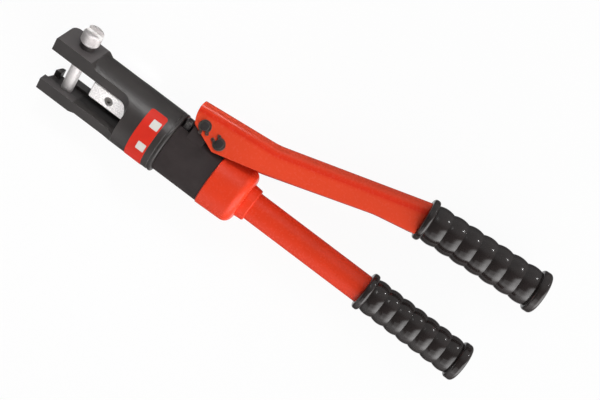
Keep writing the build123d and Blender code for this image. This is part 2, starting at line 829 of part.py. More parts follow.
# Rear cup with a round shoulder, its collar ring and the handle tube
x_partition = x_tail - plenum_depth
with BuildPart() as rear_cup:
    with BuildSketch(Plane.XY):
        with BuildLine():
            Polyline(
                (x_cup, 0),
                (x_cup, cup_radius - cup_taper),
                (x_barrel, cup_radius),
                (x_barrel, 0),
                close=True,
            )
        make_face()
    revolve(axis=Axis.X)
    fillet(rear_cup.edges().group_by(Axis.X)[0], cup_shoulder)
    chamfer(rear_cup.edges().group_by(Axis.X)[-1], edge_break)
    with BuildSketch(station(x_partition)):
        Circle(tail_radius + seat_fit)
    extrude(amount=plenum_depth + tail_length, mode=Mode.SUBTRACT)
    with BuildSketch(station(x_cup)):
        Circle(nipple_thread_diameter / 2 + seat_fit)
    extrude(amount=cup_length, mode=Mode.SUBTRACT)
    with BuildSketch(station(x_cup)):
        Circle(tube_radius + seat_fit)
    extrude(amount=tube_seat, mode=Mode.SUBTRACT)
finish(rear_cup, "rear_cup")

with BuildPart() as tube_ring:
    with BuildSketch(Plane.XY):
        with BuildLine():
            Polyline(
                (x_cup, tube_radius + seat_fit),
                (x_cup, ring_diameter / 2),
                (x_ring + edge_break, ring_diameter / 2 - ring_taper),
                (x_ring, ring_diameter / 2 - ring_taper - edge_break),
                (x_ring, tube_radius + seat_fit),
                close=True,
            )
        make_face()
    revolve(axis=Axis.X)
finish(tube_ring, "tube_ring")

tube("reservoir_tube", x_tube_end, x_tube, tube_radius - tube_wall, tube_radius)
tube("tube_plug", x_tube_end, x_tube_end + plug_length, plug_vent / 2, tube_radius - tube_wall - seat_fit)

# Suction nipple, oil bladder and its clamp inside the tube
x_bag = x_tube - nipple_length
x_neck = x_bag + bladder_neck_length
x_bag_end = x_tube_end + plug_length + bladder_room
neck_inner = nipple_diameter / 2 + seat_fit
neck_outer = neck_inner + bladder_neck_wall
bag_outer = tube_radius - tube_wall - bladder_gap
bag_inner = bag_outer - bladder_wall
with BuildPart() as suction_nipple:
    with BuildSketch(Plane.XY):
        with BuildLine():
            Polyline(
                (x_partition + nipple_flange_length, nipple_bore / 2),
                (x_partition + nipple_flange_length, nipple_flange_diameter / 2),
                (x_partition, nipple_flange_diameter / 2),
                (x_partition, nipple_thread_diameter / 2),
                (x_tube, nipple_thread_diameter / 2),
                (x_tube, nipple_diameter / 2),
                (x_bag, nipple_diameter / 2),
                (x_bag, nipple_bore / 2),
                close=True,
            )
        make_face()
    revolve(axis=Axis.X)
finish(suction_nipple, "suction_nipple")

with BuildPart() as oil_bladder:
    with BuildSketch(Plane.XY):
        with BuildLine():
            Polyline(
                (x_neck, neck_inner),
                (x_neck, neck_outer),
                (x_bag, neck_outer),
                (x_bag - bladder_shoulder, bag_outer),
                (x_bag_end, bag_outer),
                (x_bag_end, 0),
                (x_bag_end + bladder_wall, 0),
                (x_bag_end + bladder_wall, bag_inner),
                (x_bag - bladder_shoulder, bag_inner),
                (x_bag, neck_inner),
                close=True,
            )
        make_face()
    revolve(axis=Axis.X)
finish(oil_bladder, "oil_bladder")

x_clamp = x_neck - (bladder_neck_length + clamp_width) / 2
clamp_inner = neck_outer + seat_fit
tube("bladder_clamp", x_clamp, x_clamp + clamp_width, clamp_inner, clamp_inner + clamp_wall)


# Grips: a beaded flange, a row of barrel shaped lobes and a beaded end
def grip_outline(length, diameter, flange_diameter):
    crest, bead = diameter / 2, flange_diameter / 2
    valley = crest - valley_depth
    lobes_end = length - end_width
    pitch = (lobes_end - flange_width) / lobe_count
    with BuildLine() as outline:
        Line((flange_width, valley), (flange_width, bead - flange_round))
        RadiusArc((flange_width, bead - flange_round), (flange_width - flange_round, bead), -flange_round)
        Line((flange_width - flange_round, bead), (flange_round, bead))
        RadiusArc((flange_round, bead), (0, bead - flange_round), -flange_round)
        Polyline((0, bead - flange_round), (0, 0), (length, 0), (length, bead - end_round))
        RadiusArc((length, bead - end_round), (length - end_round, bead), -end_round)
        Line((length - end_round, bead), (lobes_end + flange_round, bead))
        RadiusArc((lobes_end + flange_round, bead), (lobes_end, bead - flange_round), -flange_round)
        Line((lobes_end, bead - flange_round), (lobes_end, valley))
        for lobe in range(lobe_count):
            start = flange_width + lobe * pitch
            ThreePointArc((start, valley), (start + pitch / 2, crest), (start + pitch, valley))
    make_face(outline.edges())


fixed_grip_plane = Plane(origin=(x_grip_end + grip_length, 0, 0), x_dir=(-1, 0, 0), z_dir=(0, 0, 1))
with BuildPart() as fixed_grip:
    with BuildSketch(fixed_grip_plane):
        grip_outline(grip_length, grip_diameter, grip_flange_diameter)
    revolve(axis=Axis.X)
    with BuildSketch(station(x_tube_end)):
        Circle(tube_radius + seat_fit)
    extrude(amount=tube_length, mode=Mode.SUBTRACT)
finish(fixed_grip, "fixed_grip")

# Lever: a pressed channel, open below, that narrows from the fork to a tang inside the grip
lean = radians(grip_angle)
grip_way = Vector(-cos(lean), sin(lean))
grip_up = Vector(sin(lean), cos(lean))
fulcrum = Vector(x_fulcrum, fulcrum_height)
mouth = fulcrum + Vector(-grip_reach, grip_rise)
mouth_top = mouth_height / 2 - mouth_drop
mouth_bottom = mouth_height / 2 + mouth_drop
grip_line = Vector(grip_way.X, -grip_way.Y, 0)


def from_fulcrum(ahead, above):
    return fulcrum + Vector(ahead, above)


def around(reach):
    return x_fulcrum - reach - face_gap, x_fulcrum - reach + face_gap


def lever_blank(inset, overrun):
    """The channel's outer form, or with an inset the hollow inside it, run out past its open edges."""
    mouth_end = mouth - grip_way * inset
    half = lever_half - inset
    mouth_side = mouth_width / 2 - inset
    x_front = x_fulcrum + nose_reach + past
    x_back = mouth.X - past
    with BuildPart() as blank:
        with BuildSketch(lever_side) as side_view:
            with BuildLine():
                nose_top = from_fulcrum(nose_reach + overrun, crown_height - inset)
                throat = from_fulcrum(throat_reach + overrun, -throat_drop - overrun)
                Polyline(
                    nose_top,
                    from_fulcrum(-crown_bend_reach, crown_bend_rise - inset),
                    mouth_end + grip_up * (mouth_top - inset),
                    mouth_end - grip_up * (mouth_bottom + overrun),
                    from_fulcrum(-under_curve_reach, under_curve_rise - overrun),
                    from_fulcrum(-under_bend_reach, -under_bend_drop - overrun),
                    from_fulcrum(-heel_reach, -heel_drop - overrun),
                    throat,
                )
                SagittaArc(throat, nose_top, -nose_bulge)
            make_face()
            for reach in (crown_bend_reach, under_bend_reach, under_curve_reach):
                fillet(side_view.vertices().filter_by_position(Axis.X, *around(reach)), bend_round)
            fillet(side_view.vertices().filter_by_position(Axis.X, *around(heel_reach)), heel_round)
        extrude(amount=past, both=True)
        with BuildSketch(Plane.XZ) as plan_view:
            with BuildLine():
                Polyline(
                    (x_front, half),
                    (x_fulcrum - taper_reach, half),
                    (mouth.X, mouth_side),
                    (x_back, mouth_side),
                    (x_back, -mouth_side),
                    (mouth.X, -mouth_side),
                    (x_fulcrum - taper_reach, -half),
                    (x_front, -half),
                    close=True,
                )
            make_face()
            fillet(plan_view.vertices().filter_by_position(Axis.X, *around(taper_reach)), taper_round)
        extrude(amount=tube_length, both=True, mode=Mode.INTERSECT)
        crown = blank.faces().filter_by(lambda face: face.normal_at().Y < -cos(pi / 4))
        rims = crown.edges().filter_by(Axis.Z, reverse=True)
        fillet(rims, lever_edge_round - inset)
    return blank.part


lever_form = lever_blank(0, 0)
lever_hollow = lever_blank(lever_wall, past / 2)


def tang_section(back):
    start = mouth + grip_way * back
    return Plane(origin=(start.X, -start.Y, 0), x_dir=(0, 0, 1), z_dir=grip_line)


with BuildPart() as lever_channel:
    add(lever_form)
    add(lever_hollow, mode=Mode.SUBTRACT)
    with BuildSketch(lever_side):
        with Locations((x_fulcrum, fulcrum_height), (x_pump, pump_height)):
            Circle(pin_radius + seat_fit)
    extrude(amount=past, both=True, mode=Mode.SUBTRACT)
    # The tang behind the channel's closed end
    with BuildSketch(tang_section(-lever_wall)):
        RectangleRounded(tang_width, tang_height, tang_round)
    extrude(amount=tang_length + lever_wall)
    with BuildSketch(tang_section(0)):
        Rectangle(tang_width - 2 * lever_wall, tang_height - 2 * lever_wall)
    extrude(amount=tang_length, mode=Mode.SUBTRACT)
finish(lever_channel, "lever_channel")

lever_grip_plane = Plane(origin=(mouth.X, -mouth.Y, 0), x_dir=grip_line, z_dir=(0, 0, 1))
with BuildPart() as lever_grip:
    with BuildSketch(lever_grip_plane):
        grip_outline(lever_grip_length, lever_grip_diameter, lever_flange_diameter)
    revolve(axis=Axis(lever_grip_plane.origin, grip_line))
    with BuildSketch(tang_section(0)):
        RectangleRounded(tang_width + 2 * seat_fit, tang_height + 2 * seat_fit, tang_round + seat_fit)
    extrude(amount=tang_length + face_gap, mode=Mode.SUBTRACT)
finish(lever_grip, "lever_grip")


# Lever pins, grooved at both ends, each with a pair of lugged circlips
def lever_pin(node, place):
    end = lever_half + pin_overhang
    groove = lever_half + clip_side_gap
    slit = clip_thickness + 2 * seat_fit
    with BuildPart() as pin:
        with BuildSketch(lever_side):
            with Locations(place):
                Circle(pin_radius)
        extrude(amount=end, both=True)
        chamfer(pin.edges(), edge_break / 2)
        with BuildSketch(lever_side.offset(groove), lever_side.offset(-groove - slit)):
            with Locations(place):
                Circle(pin_diameter)
                Circle(pin_groove_radius, mode=Mode.SUBTRACT)
        extrude(amount=slit, mode=Mode.SUBTRACT)
    finish(pin, node)


def clip_pair(node, place, turn):
    start = lever_half + clip_side_gap + seat_fit
    inner = pin_groove_radius + seat_fit
    lug_radius = clip_diameter / 2
    lug_step = clip_gap / 2 + clip_lug_diameter / 2
    with BuildPart() as pair:
        with BuildSketch(lever_side.offset(start), lever_side.offset(-start - clip_thickness)):
            with Locations(Location((*place, 0), (0, 0, turn))):
                Circle(clip_diameter / 2)
                with Locations((lug_radius, lug_step), (lug_radius, -lug_step)):
                    Circle(clip_lug_diameter / 2)
                    Circle(clip_lug_hole / 2, mode=Mode.SUBTRACT)
                Circle(inner, mode=Mode.SUBTRACT)
                Rectangle(clip_diameter, clip_gap, align=(Align.MIN, Align.CENTER), mode=Mode.SUBTRACT)
        extrude(amount=clip_thickness)
    finish(pair, node)


lever_pin("fulcrum_pin", (x_fulcrum, fulcrum_height))
clip_pair("fulcrum_clips", (x_fulcrum, fulcrum_height), fulcrum_clip_turn)
lever_pin("plunger_pin", (x_pump, pump_height))
clip_pair("plunger_clips", (x_pump, pump_height), plunger_clip_turn)
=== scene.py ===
import json
import math

import bmesh
import bpy
from mathutils import Matrix, Vector


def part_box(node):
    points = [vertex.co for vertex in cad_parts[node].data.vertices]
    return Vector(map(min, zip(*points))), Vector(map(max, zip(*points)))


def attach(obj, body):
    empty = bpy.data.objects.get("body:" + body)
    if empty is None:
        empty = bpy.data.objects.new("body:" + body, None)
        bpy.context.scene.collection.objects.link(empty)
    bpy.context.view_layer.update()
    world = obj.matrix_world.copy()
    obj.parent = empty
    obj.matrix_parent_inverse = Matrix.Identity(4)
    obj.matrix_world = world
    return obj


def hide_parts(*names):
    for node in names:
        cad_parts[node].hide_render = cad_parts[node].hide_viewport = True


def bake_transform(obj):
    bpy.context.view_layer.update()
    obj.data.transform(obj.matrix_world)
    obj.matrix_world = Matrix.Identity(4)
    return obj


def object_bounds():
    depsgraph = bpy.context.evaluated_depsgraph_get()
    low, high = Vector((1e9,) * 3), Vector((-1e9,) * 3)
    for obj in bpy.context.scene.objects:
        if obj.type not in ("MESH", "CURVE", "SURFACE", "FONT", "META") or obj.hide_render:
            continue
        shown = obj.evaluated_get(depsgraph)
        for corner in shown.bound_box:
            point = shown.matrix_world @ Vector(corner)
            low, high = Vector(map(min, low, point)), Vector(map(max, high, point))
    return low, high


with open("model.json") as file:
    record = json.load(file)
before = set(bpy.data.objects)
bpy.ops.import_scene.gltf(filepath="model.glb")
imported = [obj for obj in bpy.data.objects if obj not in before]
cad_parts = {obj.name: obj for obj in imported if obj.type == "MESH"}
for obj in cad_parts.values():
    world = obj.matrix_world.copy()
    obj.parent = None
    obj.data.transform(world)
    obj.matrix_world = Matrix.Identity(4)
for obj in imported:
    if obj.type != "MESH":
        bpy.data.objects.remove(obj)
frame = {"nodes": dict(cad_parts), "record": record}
cad_low, cad_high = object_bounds()

# Sizes and places, in metres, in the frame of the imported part
same_place = 1e-6  # points nearer than this are one point

to_fork = (1, 0, 0)  # along the tool
head_radius = 0.0317
head_roll = math.radians(37.5)  # turn of the fork against the lever's plane
across_arms = Vector((0, -math.cos(head_roll), math.sin(head_roll)))

latch_station = 0.0222
latch_seat = 0.03695  # tool's axis to the foot of the latch knob
knob_radius = 0.0093
knob_height = 0.0140
knob_chamfer = 0.001
knob_bore_radius = 0.00585
knob_bore_depth = 0.0066
rivet_hole_radius = 0.00305
coin_slot_width = 0.0092
coin_slot_depth = 0.0040
knob_diamonds = 36
knob_rows = 14
diamond_point = 0.00042  # a diamond's height above the valleys round it
diamond_corners = 4

release_length = 0.0066
release_rim = 0.0011
release_spindle_radius = 0.002
release_diamonds = 30
release_rows = 6

spring_wire = 0.0026
spring_radius = 0.015
spring_turns = 4
spring_front = -0.0502  # against the head's wall
spring_rear = -0.0761  # against the piston
spring_sides = 14  # flats round the wire
spring_steps = 40  # steps in each turn
spring_smooth = math.radians(40)

label_lift = 0.00031  # head's surface to the top of the label film
patch_thickness = 0.00012
patch_corner = 0.0008
patch_corner_steps = 4
patch_start = -0.0760
patch_width = 0.0086
patch_angles = (9.9, -33.6)  # degrees from straight up towards the lever
patch_spread = math.radians(15.2)
patch_strips = 12  # flats that follow the head's curve


# Modelling steps that several pieces share


def pick(piece, kind, wanted):
    """Selects the parts of a piece in edit mode that the test accepts."""
    bpy.ops.mesh.select_mode(type=kind)
    bpy.ops.mesh.select_all(action="DESELECT")
    shape = bmesh.from_edit_mesh(piece.data)
    parts = {"VERT": shape.verts, "EDGE": shape.edges, "FACE": shape.faces}[kind]
    for part in parts:
        if wanted(part):
            part.select_set(True)
    bmesh.update_edit_mesh(piece.data)


def at_height(height):
    """A test for the edges that lie at one height."""
    return lambda edge: all(abs(vert.co.z - height) < same_place for vert in edge.verts)


def pull_ring(rise, radius_from, radius_to):
    """Pulls a new ring out of the selected one, along Z, at another radius."""
    narrow = radius_to / radius_from
    bpy.ops.mesh.extrude_edges_move(TRANSFORM_OT_translate={"value": (0, 0, rise)})
    bpy.ops.transform.resize(value=(narrow, narrow, 1), center_override=(0, 0, 0))


def knurled_band(name, radius, foot, length, columns, rows):
    """A band of raised diamonds round Z, open at both ends, left in edit mode."""
    step = length / rows
    half_diamond = math.pi / columns
    bpy.ops.object.select_all(action="DESELECT")
    bpy.ops.mesh.primitive_circle_add(
        vertices=columns, radius=radius - diamond_point, fill_type="NOTHING", location=(0, 0, foot)
    )
    bpy.ops.object.transform_apply()
    band = bpy.context.object
    band.name = name
    bpy.ops.object.mode_set(mode="EDIT")
    for row in range(rows):
        bpy.ops.mesh.extrude_edges_move(TRANSFORM_OT_translate={"value": (0, 0, step)})
        bpy.ops.transform.rotate(value=half_diamond, orient_axis="Z", center_override=(0, 0, 0))
    bpy.ops.mesh.select_all(action="SELECT")
    bpy.ops.mesh.normals_make_consistent(inside=False)
    bpy.ops.mesh.quads_convert_to_tris(quad_method="SHORTEST_DIAGONAL")
    inner = [foot + row * step for row in range(1, rows)]
    pick(band, "EDGE", lambda edge: any(at_height(height)(edge) for height in inner))
    bpy.ops.mesh.dissolve_edges(use_verts=False)
    pick(band, "FACE", lambda face: len(face.verts) == diamond_corners)
    bpy.ops.mesh.poke(offset=diamond_point)
    return band


def close_up():
    """Merges the points that meet, turns all faces outwards and leaves edit mode."""
    bpy.ops.mesh.select_all(action="SELECT")
    bpy.ops.mesh.remove_doubles(threshold=same_place)
    bpy.ops.mesh.normals_make_consistent(inside=False)
    bpy.ops.object.mode_set(mode="OBJECT")


def cut_away(piece, size, place):
    """Cuts a block out of a piece."""
    bpy.ops.object.select_all(action="DESELECT")
    bpy.ops.mesh.primitive_cube_add(size=1, location=place, scale=size)
    cutter = bpy.context.object
    bpy.context.view_layer.objects.active = piece
    cut = piece.modifiers.new("cut", "BOOLEAN")
    cut.operation = "DIFFERENCE"
    cut.solver = "EXACT"
    cut.object = cutter
    bpy.ops.object.modifier_apply(modifier=cut.name)
    bpy.data.objects.remove(cutter)


def settle(piece, place, turn):
    """Turns a piece, moves it to its place, and leaves that in its mesh."""
    bpy.ops.object.select_all(action="DESELECT")
    piece.select_set(True)
    bpy.context.view_layer.objects.active = piece
    piece.location = place
    piece.rotation_euler = turn
    bpy.ops.object.transform_apply()


# Pieces


def make_latch_knob():
    """The latch pin's thumb knob: knurled, slotted across its top, with a hole for the rivet."""
    band_foot = knob_chamfer
    band_length = knob_height - 2 * knob_chamfer
    web = knob_height - knob_bore_depth
    valley = knob_radius - diamond_point
    rim = valley - knob_chamfer
    knob = knurled_band(
        "latch_thumb_knob", knob_radius, band_foot, band_length, knob_diamonds, knob_rows
    )
    pick(knob, "EDGE", at_height(band_foot + band_length))
    pull_ring(knob_chamfer, valley, rim)
    pull_ring(0, rim, rivet_hole_radius)
    pull_ring(-web, rivet_hole_radius, rivet_hole_radius)
    pick(knob, "EDGE", at_height(band_foot))
    pull_ring(-knob_chamfer, valley, rim)
    pull_ring(0, rim, knob_bore_radius)
    pull_ring(knob_bore_depth, knob_bore_radius, knob_bore_radius)
    pull_ring(0, knob_bore_radius, rivet_hole_radius)
    close_up()
    right_through = 3 * knob_radius
    slot_size = (right_through, coin_slot_width, 2 * coin_slot_depth)
    cut_away(knob, slot_size, (0, 0, knob_height))
    place = across_arms * latch_seat + Vector((latch_station, 0, 0))
    settle(knob, place, (math.pi / 2 - head_roll, 0, 0))
    return knob


def make_release_knob():
    """The release valve's knob: knurled between two plain rims, on its spindle."""
    low, high = (Vector(corner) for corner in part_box("release_knob"))
    middle = (low + high) / 2
    radius = (high.y - low.y) / 2
    valley = radius - diamond_point
    half_rim = release_rim / 2
    dish = radius / 2
    spindle_length = high.x - low.x - release_length
    band_length = release_length - 2 * release_rim
    knob = knurled_band(
        "release_valve_knob", radius, release_rim, band_length, release_diamonds, release_rows
    )
    pick(knob, "EDGE", at_height(release_length - release_rim))
    pull_ring(0, valley, radius)
    pull_ring(half_rim, radius, radius)
    pull_ring(half_rim, radius, radius - half_rim)
    pull_ring(0, radius - half_rim, dish)
    pull_ring(-half_rim, dish, dish - half_rim)
    bpy.ops.mesh.edge_face_add()
    pick(knob, "EDGE", at_height(release_rim))
    pull_ring(0, valley, radius)
    pull_ring(-half_rim, radius, radius)
    pull_ring(-half_rim, radius, radius - half_rim)
    pull_ring(0, radius - half_rim, release_spindle_radius)
    pull_ring(-spindle_length, release_spindle_radius, release_spindle_radius)
    bpy.ops.mesh.edge_face_add()
    close_up()
    settle(knob, (high.x - release_length, middle.y, middle.z), (0, math.pi / 2, 0))
    return knob


def make_return_spring():
    """The ram's return spring, wound from its wire, at its length with the ram back; it is not
    made to close as the ram comes forward.
    """
    bpy.ops.object.select_all(action="DESELECT")
    bpy.ops.mesh.primitive_circle_add(
        vertices=spring_sides, radius=spring_wire / 2, fill_type="NOTHING",
        location=(spring_radius, 0, 0), rotation=(math.pi / 2, 0, 0),
    )
    bpy.ops.object.transform_apply()
    spring = bpy.context.object
    spring.name = "return_spring_coil"
    wind = spring.modifiers.new("wind", "SCREW")
    wind.axis = "Z"
    wind.iterations = spring_turns
    wind.screw_offset = (spring_front - spring_rear - spring_wire) / spring_turns
    wind.steps = spring_steps
    wind.render_steps = spring_steps
    bpy.ops.object.modifier_apply(modifier=wind.name)
    bpy.ops.object.mode_set(mode="EDIT")
    bpy.ops.mesh.select_all(action="SELECT")
    bpy.ops.mesh.fill_holes(sides=spring_sides)
    close_up()
    bpy.ops.object.shade_smooth_by_angle(angle=spring_smooth)
    settle(spring, (spring_rear + spring_wire / 2, 0, 0), (0, math.pi / 2, 0))
    return spring


def make_label_patch(name, angle):
    """A blank white patch that follows the label film round the head."""
    radius = head_radius + label_lift
    bpy.ops.object.select_all(action="DESELECT")
    bpy.ops.mesh.primitive_plane_add(size=1, location=(patch_start + patch_width / 2, 0, radius))
    patch = bpy.context.object
    patch.name = name
    patch.scale = (patch_width, radius * patch_spread, 1)
    bpy.ops.object.transform_apply()
    bpy.ops.object.mode_set(mode="EDIT")
    bpy.ops.mesh.bevel(offset=patch_corner, segments=patch_corner_steps, affect="VERTICES")
    half_strips = patch_strips // 2
    for cut in range(1 - half_strips, half_strips):
        bpy.ops.mesh.select_all(action="SELECT")
        place = (0, cut * radius * patch_spread / patch_strips, radius)
        bpy.ops.mesh.bisect(plane_co=place, plane_no=(0, 1, 0))
    bpy.ops.object.mode_set(mode="OBJECT")
    for vert in patch.data.vertices:
        lean = vert.co.y / radius - math.radians(angle)
        vert.co.yz = radius * math.sin(lean), radius * math.cos(lean)
    wall = patch.modifiers.new("wall", "SOLIDIFY")
    wall.thickness = patch_thickness
    wall.offset = 1
    bpy.ops.object.modifier_apply(modifier=wall.name)
    return patch


# Short forms for shader nodes


def feed(tree, socket, value):
    """Feeds an input from another node's output, or with a plain value."""
    if isinstance(value, bpy.types.NodeSocket):
        tree.links.new(value, socket)
    else:
        socket.default_value = value


def set_inputs(node, values):
    """Sets a node's inputs by their labels."""
    for label, value in values.items():
        node.inputs[label.replace("_", " ").title()].default_value = value


def reckon(tree, operation, *values, clamp=False):
    """The result of a Math node."""
    step = tree.nodes.new("ShaderNodeMath")
    step.operation = operation
    step.use_clamp = clamp
    for socket, value in zip(step.inputs, values):
        feed(tree, socket, value)
    return step.outputs["Value"]


def reach_along(tree, vector, direction):
    """How far a vector reaches along a direction."""
    reach = tree.nodes.new("ShaderNodeVectorMath")
    reach.operation = "DOT_PRODUCT"
    feed(tree, reach.inputs[0], vector)
    feed(tree, reach.inputs[1], direction)
    return reach.outputs["Value"]


def fade(tree, value, start, full, lowest=0, highest=1, soft=False):
    """Takes a value from one span to another, and holds it at both ends."""
    span = tree.nodes.new("ShaderNodeMapRange")
    span.interpolation_type = "SMOOTHSTEP" if soft else "LINEAR"
    set_inputs(span, {"from_min": start, "from_max": full, "to_min": lowest, "to_max": highest})
    feed(tree, span.inputs["Value"], value)
    return span.outputs["Result"]


def noise(tree, vector, scale, detail, roughness=0.5):
    """The value of a noise texture."""
    texture = tree.nodes.new("ShaderNodeTexNoise")
    set_inputs(texture, {"detail": detail, "roughness": roughness})
    feed(tree, texture.inputs["Vector"], vector)
    feed(tree, texture.inputs["Scale"], scale)
    return texture.outputs["Fac"]


def mix_of(tree, kind, factor, first, second):
    """The result of a Mix node, for colours (RGBA) or numbers (FLOAT)."""
    mix = tree.nodes.new("ShaderNodeMix")
    mix.data_type = kind
    feed(tree, mix.inputs["Factor"], factor)
    feed(tree, mix.inputs["A"], first)
    feed(tree, mix.inputs["B"], second)
    return mix.outputs["Result"]


# Shader node groups for what several finishes share
noise_span = (0.3, 0.7)  # where most of a noise texture's values lie
rub_span = (0.4, 0.65)  # noise at which rubbing starts and is full
edge_span = (0.99, 0.75)  # agreement of sharp and softened normals, beside an edge and on it
hollow_span = (0.53, 0.46)  # pointiness at which the darkening of hollows, grime and painted shade, starts and is full
least_darkening = 0.6  # share that stays where it is thinnest
edge_samples = 6


def new_group(name, inputs, outputs):
    """An empty node group with its sockets, and the nodes for its two ends."""
    group = bpy.data.node_groups.new(name, "ShaderNodeTree")
    for label, kind, value in inputs:
        socket = group.interface.new_socket(label, in_out="INPUT", socket_type=kind)
        if value is not None:
            socket.default_value = value
    for label, kind in outputs:
        group.interface.new_socket(label, in_out="OUTPUT", socket_type=kind)
    return group, group.nodes.new("NodeGroupInput"), group.nodes.new("NodeGroupOutput")


def make_tone_drift():
    """Lets a colour drift lighter and darker in soft clouds."""
    group, start, end = new_group(
        "tone_drift",
        [
            ("Vector", "NodeSocketVector", None),
            ("Color", "NodeSocketColor", (0.5, 0.5, 0.5, 1)),
            ("Scale", "NodeSocketFloat", 40),
            ("Amount", "NodeSocketFloat", 0.2),
        ],
        [("Color", "NodeSocketColor")],
    )
    given = start.outputs
    clouds = noise(group, given["Vector"], given["Scale"], detail=5, roughness=0.6)
    swing = fade(group, clouds, *noise_span, lowest=-1, highest=1)
    gain = reckon(group, "MULTIPLY_ADD", swing, given["Amount"], 1)
    tone = group.nodes.new("ShaderNodeHueSaturation")
    feed(group, tone.inputs["Color"], given["Color"])
    feed(group, tone.inputs["Value"], gain)
    feed(group, end.inputs["Color"], tone.outputs["Color"])
    return group


def make_surface_grain():
    """Height of a fine grain, with a coarser waviness below it."""
    group, start, end = new_group(
        "surface_grain",
        [
            ("Vector", "NodeSocketVector", None),
            ("Fine Scale", "NodeSocketFloat", 2500),
            ("Wave Scale", "NodeSocketFloat", 300),
            ("Wave Share", "NodeSocketFloat", 0.5),
        ],
        [("Height", "NodeSocketFloat")],
    )
    given = start.outputs
    fine = noise(group, given["Vector"], given["Fine Scale"], detail=3)
    wave = noise(group, given["Vector"], given["Wave Scale"], detail=1)
    feed(group, end.inputs["Height"], mix_of(group, "FLOAT", given["Wave Share"], fine, wave))
    return group


def make_edge_rub():
    """Softened edges, and a broken mask along them where handling has rubbed the finish."""
    group, start, end = new_group(
        "edge_rub",
        [
            ("Vector", "NodeSocketVector", None),
            ("Radius", "NodeSocketFloat", 0.0005),
            ("Patch Scale", "NodeSocketFloat", 350),
            ("Amount", "NodeSocketFloat", 0.5),
        ],
        [("Mask", "NodeSocketFloat"), ("Normal", "NodeSocketVector")],
    )
    given = start.outputs
    soft = group.nodes.new("ShaderNodeBevel")
    soft.samples = edge_samples
    feed(group, soft.inputs["Radius"], given["Radius"])
    sharp = group.nodes.new("ShaderNodeNewGeometry")
    agree = reach_along(group, soft.outputs["Normal"], sharp.outputs["Normal"])
    edge = fade(group, agree, *edge_span)
    patches = noise(group, given["Vector"], given["Patch Scale"], detail=4)
    worn = reckon(group, "MULTIPLY", edge, fade(group, patches, *rub_span))
    mask = reckon(group, "MULTIPLY", worn, given["Amount"], clamp=True)
    feed(group, end.inputs["Mask"], mask)
    feed(group, end.inputs["Normal"], soft.outputs["Normal"])
    return group


def make_knurl_grime_and_shade():
    """A mask of the hollows between raised points, where grease and dust stay and shade is
    painted.
    """
    group, start, end = new_group(
        "knurl_grime_and_shade",
        [
            ("Vector", "NodeSocketVector", None),
            ("Patch Scale", "NodeSocketFloat", 600),
            ("Amount", "NodeSocketFloat", 0.7),
        ],
        [("Mask", "NodeSocketFloat")],
    )
    given = start.outputs
    shape = group.nodes.new("ShaderNodeNewGeometry")
    hollow = fade(group, shape.outputs["Pointiness"], *hollow_span)
    patches = noise(group, given["Vector"], given["Patch Scale"], detail=3)
    uneven = fade(group, patches, *noise_span, lowest=least_darkening)
    darkening = reckon(group, "MULTIPLY", hollow, uneven)
    mask = reckon(group, "MULTIPLY", darkening, given["Amount"], clamp=True)
    feed(group, end.inputs["Mask"], mask)
    return group


tone_drift = make_tone_drift()
surface_grain = make_surface_grain()
edge_rub = make_edge_rub()
knurl_grime_and_shade = make_knurl_grime_and_shade()


def place_group(material, group, values):
    """Puts a node group into a material, reading Object coordinates, with its own values."""
    nodes = material.node_tree.nodes
    holder = nodes.new("ShaderNodeGroup")
    holder.node_tree = group
    spot = nodes.get("place") or nodes.new("ShaderNodeTexCoord")
    spot.name = "place"
    feed(material.node_tree, holder.inputs["Vector"], spot.outputs["Object"])
    set_inputs(holder, values)
    return holder.outputs


# Finishes


def srgb(red, green, blue):
    """A colour given in the 0 to 255 values of a picture."""
    def linear(value):
        share = value / 255
        return share / 12.92 if share <= 0.04045 else ((share + 0.055) / 1.055) ** 2.4
    return (linear(red), linear(green), linear(blue), 1)


def make_finish(
    name, colour, under, roughness, rough_swing, drift, grain, bump, rub, specular=0.5, bare=0
):
    """A paint, oxide, metal or moulded skin with drifting tone, grain and rubbed edges.

    Clean metal is bare (1), a blasted or dulled one less so, and a coat not at all.
    """
    material = bpy.data.materials.new(name)
    material.use_nodes = True
    tree = material.node_tree
    shader = tree.nodes["Principled BSDF"].inputs
    shader["Specular IOR Level"].default_value = specular
    shader["Metallic"].default_value = bare
    tone = place_group(material, tone_drift, {"color": colour, **drift})
    worn = place_group(material, edge_rub, rub)
    feed(tree, shader["Base Color"], mix_of(tree, "RGBA", worn["Mask"], tone["Color"], under))
    height = place_group(material, surface_grain, grain)["Height"]
    smoothest, roughest = roughness - rough_swing, roughness + rough_swing
    feed(tree, shader["Roughness"], fade(tree, height, *noise_span, smoothest, roughest))
    relief = tree.nodes.new("ShaderNodeBump")
    set_inputs(relief, bump)
    feed(tree, relief.inputs["Height"], height)
    feed(tree, relief.inputs["Normal"], worn["Normal"])
    feed(tree, shader["Normal"], relief.outputs["Normal"])
    return material


def over_base(material, mask, colour):
    """Lays a second colour over a finish where a mask says."""
    tree = material.node_tree
    base = tree.nodes["Principled BSDF"].inputs["Base Color"]
    feed(tree, base, mix_of(tree, "RGBA", mask, base.links[0].from_socket, colour))


def grime_and_shade_hollows(material, colour, amount):
    """Darkens the hollows of a knurl, as grime and painted shade."""
    over_base(material, place_group(material, knurl_grime_and_shade, {"amount": amount})["Mask"], colour)


pad_facing = (0.95, 0.99)  # agreement with across_arms, where a pad's flat starts and is full
pad_station = (0.0055, 0.0075)  # along the tool, likewise


def paint_pad_reflection(material, colour):
    """Paints a lighter reflection onto the flat outside of the arms, near the fork's tips."""
    tree = material.node_tree
    spot = tree.nodes["place"].outputs
    flat = fade(tree, reach_along(tree, spot["Normal"], across_arms), *pad_facing)
    front = fade(tree, reach_along(tree, spot["Object"], to_fork), *pad_station)
    over_base(material, reckon(tree, "MULTIPLY", flat, front), colour)


